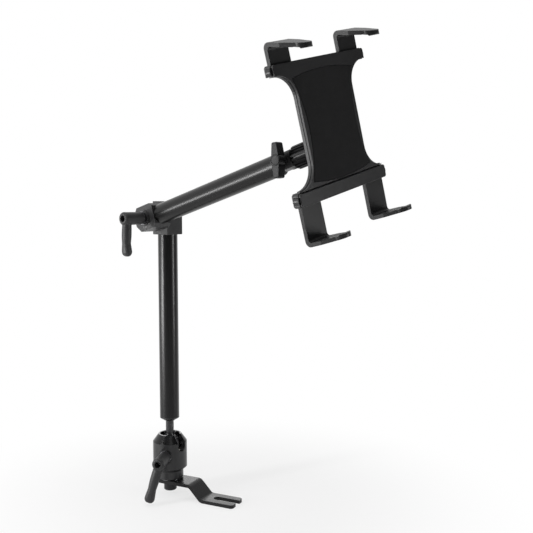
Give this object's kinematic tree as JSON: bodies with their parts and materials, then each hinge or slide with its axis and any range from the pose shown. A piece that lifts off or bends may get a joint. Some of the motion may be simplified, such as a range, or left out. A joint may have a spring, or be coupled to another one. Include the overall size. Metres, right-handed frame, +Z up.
{
  "type": "seat rail tablet mount",
  "caption": "Tablet holder on two lever-locked tubes and a ball head, fixed under a car seat rail bolt by a joggled fork foot.",
  "frame": {"origin": "on the underside of the fork foot, on the axis of the seat rail bolt at the closed end of the slot", "axes": "+X out through the fork's tines, +Z up along the post"},
  "size_m": [0.3615, 0.2063, 0.577],
  "materials": {
    "powder_coat": "satin powder coat",
    "black_oxide": "black oxide",
    "zinc": "zinc plated",
    "black_anodised": "matt black anodised",
    "black_gloss_anodised": "bright black anodised",
    "nylon": "natural nylon",
    "brass": "turned",
    "bright_steel": "turned steel",
    "lever_coat": "textured powder coat",
    "black_plastic": "fine grain",
    "foam": "closed cell foam",
    "spring_wire": "spring wire",
    "leg_plastic": "fine grain"
  },
  "bodies": {
    "foot": {"foot_bracket": "powder_coat", "foot_bolt": "black_oxide", "foot_washer": "zinc"},
    "head": {"head_housing": "black_anodised", "head_collar": "black_gloss_anodised", "ball_seat": "nylon", "pressure_pad": "brass"},
    "ball": {"ball_stud": "bright_steel"},
    "head_clamp": {"head_lever_stud": "zinc", "head_lever_screw": "zinc"},
    "head_grip": {"head_lever": "lever_coat"},
    "post": {"post_plug": "black_anodised", "post_tube": "black_gloss_anodised", "post_block": "powder_coat", "elbow_disc": "zinc"},
    "arm": {"arm_block": "powder_coat", "arm_tube": "black_gloss_anodised", "arm_tip": "black_anodised"},
    "elbow_clamp": {"elbow_lever_stud": "zinc", "elbow_lever_screw": "zinc"},
    "elbow_grip": {"elbow_lever": "lever_coat"},
    "knuckle": {"knuckle_fork": "black_plastic", "knuckle_bolt": "zinc"},
    "wing": {"wing_knob": "black_plastic"},
    "ring": {"ring_nut": "black_plastic"},
    "swivel": {"swivel_ball": "black_oxide"},
    "holder": {"adapter_disc": "black_plastic", "adapter_screws": "zinc", "holder_back": "black_plastic", "holder_front": "black_plastic", "cover_screws": "zinc", "foam_pad": "foam", "return_springs": "spring_wire", "upper_left_leg": "leg_plastic", "upper_right_leg": "leg_plastic"},
    "lower_bar": {"lower_bar_back": "black_plastic", "lower_bar_front": "black_plastic", "slide_rails": "zinc", "lower_left_leg": "leg_plastic", "lower_right_leg": "leg_plastic"},
    "upper_left_button": {"upper_left_release": "leg_plastic"},
    "upper_right_button": {"upper_right_release": "leg_plastic"},
    "lower_left_button": {"lower_left_release": "leg_plastic"},
    "lower_right_button": {"lower_right_release": "leg_plastic"}
  },
  "joints": [
    {"name": "head_pan", "type": "hinge", "parent": "foot", "child": "head", "pos_m": [-0.0725, 0, 0.0227], "axis": [0, 0, 1], "range_deg": [-120, 35]},
    {"name": "ball_tilt", "type": "hinge", "parent": "head", "child": "ball", "pos_m": [-0.0725, 0, 0.0675], "axis": [0.2079, 0.9781, 0], "range_deg": [-25, 80]},
    {"name": "post_turn", "type": "hinge", "parent": "ball", "child": "post", "pos_m": [-0.0725, 0, 0.0675], "axis": [0, 0, 1], "continuous": true},
    {"name": "head_lever_turn", "type": "hinge", "parent": "head", "child": "head_clamp", "pos_m": [-0.06674, -0.02009, 0.0563], "axis": [0.2756, -0.9613, 0], "range_deg": [-120, 120]},
    {"name": "head_lever_lift", "type": "slide", "parent": "head_clamp", "child": "head_grip", "axis": [0.2756, -0.9613, 0], "range_m": [0, 0.0035], "stiffness_N_per_m": 600},
    {"name": "elbow_fold", "type": "hinge", "parent": "post", "child": "arm", "pos_m": [-0.07855, -0.02775, 0.3694], "axis": [-0.213, -0.977, 0], "range_deg": [-60, 75]},
    {"name": "elbow_lever_turn", "type": "hinge", "parent": "arm", "child": "elbow_clamp", "pos_m": [-0.08179, -0.0426, 0.3694], "axis": [-0.213, -0.977, 0], "range_deg": [-120, 120]},
    {"name": "elbow_lever_lift", "type": "slide", "parent": "elbow_clamp", "child": "elbow_grip", "axis": [-0.213, -0.977, 0], "range_m": [0, 0.0035], "stiffness_N_per_m": 600},
    {"name": "knuckle_tilt", "type": "hinge", "parent": "arm", "child": "knuckle", "pos_m": [0.13411, -0.07412, 0.43594], "axis": [-0.213, -0.977, 0], "range_deg": [-65, 65]},
    {"name": "wing_turn", "type": "hinge", "parent": "knuckle", "child": "wing", "pos_m": [0.13411, -0.07412, 0.43594], "axis": [-0.213, -0.977, 0], "range_deg": [0, 270]},
    {"name": "ring_turn", "type": "hinge", "parent": "knuckle", "child": "ring", "pos_m": [0.16027, -0.07982, 0.44413], "axis": [0.9344, -0.2037, 0.2924], "range_deg": [0, 180]},
    {"name": "holder_swing", "type": "hinge", "parent": "knuckle", "child": "swivel", "pos_m": [0.16027, -0.07982, 0.44413], "axis": [-0.2857, 0.0623, 0.9563], "range_deg": [-8, 22]},
    {"name": "holder_spin", "type": "hinge", "parent": "swivel", "child": "holder", "pos_m": [0.16027, -0.07982, 0.44413], "axis": [0.9365, -0.3446, 0.0652], "continuous": true},
    {"name": "holder_expand", "type": "slide", "parent": "holder", "child": "lower_bar", "axis": [0.1427, 0.2047, -0.9684], "range_m": [0, 0.045], "stiffness_N_per_m": 100, "springref_m": -0.03},
    {"name": "upper_left_press", "type": "slide", "parent": "holder", "child": "upper_left_button", "axis": [0.3204, 0.9162, 0.2408], "range_m": [0, 0.0015], "stiffness_N_per_m": 400},
    {"name": "upper_right_press", "type": "slide", "parent": "holder", "child": "upper_right_button", "axis": [-0.3204, -0.9162, -0.2408], "range_m": [0, 0.0015], "stiffness_N_per_m": 400},
    {"name": "lower_left_press", "type": "slide", "parent": "lower_bar", "child": "lower_left_button", "axis": [0.3204, 0.9162, 0.2408], "range_m": [0, 0.0015], "stiffness_N_per_m": 400},
    {"name": "lower_right_press", "type": "slide", "parent": "lower_bar", "child": "lower_right_button", "axis": [-0.3204, -0.9162, -0.2408], "range_m": [0, 0.0015], "stiffness_N_per_m": 400}
  ]
}
